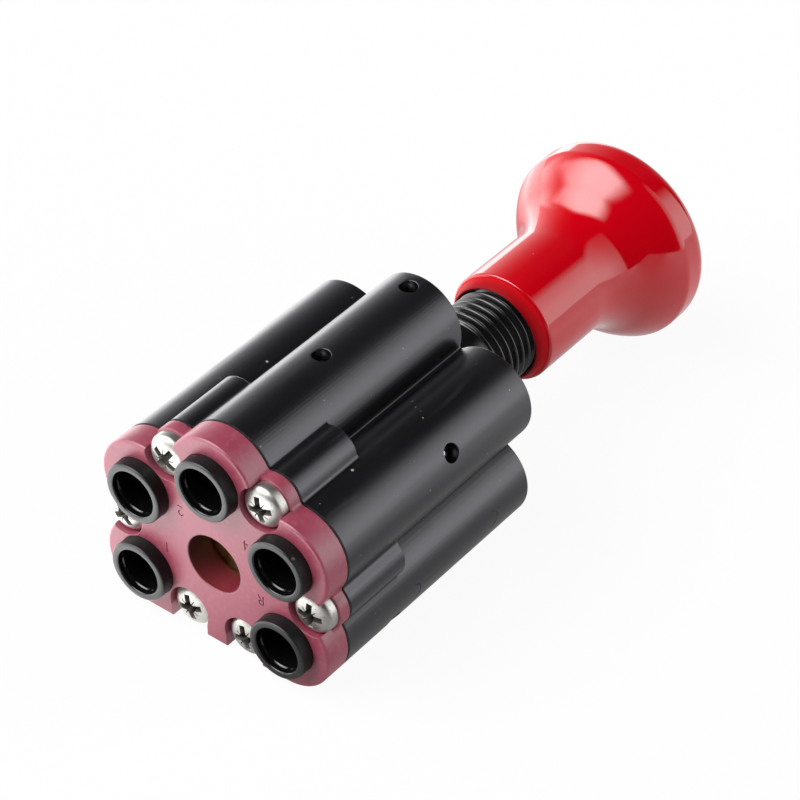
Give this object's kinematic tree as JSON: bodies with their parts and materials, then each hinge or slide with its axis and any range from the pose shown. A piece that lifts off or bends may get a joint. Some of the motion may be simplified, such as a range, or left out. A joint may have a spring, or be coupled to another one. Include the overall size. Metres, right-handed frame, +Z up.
{
  "type": "push-pull valve",
  "caption": "Push-pull air valve with a lobed body, push-in tube ports under a screwed plate, a threaded panel neck and a mushroom knob that slides and turns.",
  "frame": {"origin": "on the spool axis at the panel seat, where the threaded neck leaves the housing", "axes": "+Y along the spool from the ports to the knob, +Z up through the top lobe with the flat base down, +X to the right as seen from the port side"},
  "size_m": [0.0364, 0.0927, 0.0343],
  "materials": {
    "body_plastic": "satin black",
    "plate_plastic": "satin maroon",
    "gasket_rubber": "matte black sheet",
    "screw_steel": "bright zinc plate",
    "ball_steel": "polished ball",
    "brass": "turned brass",
    "seal_rubber": "moulded nitrile",
    "neck_plastic": "satin black",
    "collet_plastic": "dull charcoal",
    "ring_plastic": "natural acetal",
    "spring_steel": "spring steel sheet",
    "knob_plastic": "high gloss red"
  },
  "bodies": {
    "valve_body": {"housing": "body_plastic", "port_plate": "plate_plastic", "plate_gasket": "gasket_rubber", "plate_screws": "screw_steel", "ball_plugs": "ball_steel", "piston_liner": "brass", "threaded_neck": "neck_plastic", "stem_seal": "seal_rubber", "stem_seal_retainer": "ring_plastic", "stem_wiper": "seal_rubber", "grip_ring_1": "spring_steel", "support_ring_1": "ring_plastic", "tube_seal_1": "seal_rubber", "seal_cage_1": "brass", "spool_seal_1": "seal_rubber", "grip_ring_2": "spring_steel", "support_ring_2": "ring_plastic", "tube_seal_2": "seal_rubber", "seal_cage_2": "brass", "spool_seal_2": "seal_rubber", "grip_ring_3": "spring_steel", "support_ring_3": "ring_plastic", "tube_seal_3": "seal_rubber", "seal_cage_3": "brass", "spool_seal_3": "seal_rubber", "grip_ring_4": "spring_steel", "support_ring_4": "ring_plastic", "tube_seal_4": "seal_rubber", "seal_cage_4": "brass", "spool_seal_4": "seal_rubber", "grip_ring_5": "spring_steel", "support_ring_5": "ring_plastic", "tube_seal_5": "seal_rubber", "seal_cage_5": "brass", "spool_seal_5": "seal_rubber"},
    "piston_ring": {"piston_seal": "seal_rubber"},
    "plunger": {"spool": "brass", "knob": "knob_plastic", "knob_insert": "brass"},
    "collet_1": {"release_collet_1": "collet_plastic"},
    "collet_2": {"release_collet_2": "collet_plastic"},
    "collet_3": {"release_collet_3": "collet_plastic"},
    "collet_4": {"release_collet_4": "collet_plastic"},
    "collet_5": {"release_collet_5": "collet_plastic"}
  },
  "joints": [
    {"name": "knob_pull", "type": "slide", "parent": "valve_body", "child": "piston_ring", "axis": [0, 1, 0], "range_m": [0, 0.0044]},
    {"name": "knob_turn", "type": "hinge", "parent": "piston_ring", "child": "plunger", "pos_m": [0, 0, 0], "axis": [0, 1, 0], "continuous": true},
    {"name": "collet_press_1", "type": "slide", "parent": "valve_body", "child": "collet_1", "axis": [0, 1, 0], "range_m": [0, 0.0012], "stiffness_N_per_m": 400},
    {"name": "collet_press_2", "type": "slide", "parent": "valve_body", "child": "collet_2", "axis": [0, 1, 0], "range_m": [0, 0.0012], "stiffness_N_per_m": 400},
    {"name": "collet_press_3", "type": "slide", "parent": "valve_body", "child": "collet_3", "axis": [0, 1, 0], "range_m": [0, 0.0012], "stiffness_N_per_m": 400},
    {"name": "collet_press_4", "type": "slide", "parent": "valve_body", "child": "collet_4", "axis": [0, 1, 0], "range_m": [0, 0.0012], "stiffness_N_per_m": 400},
    {"name": "collet_press_5", "type": "slide", "parent": "valve_body", "child": "collet_5", "axis": [0, 1, 0], "range_m": [0, 0.0012], "stiffness_N_per_m": 400}
  ]
}
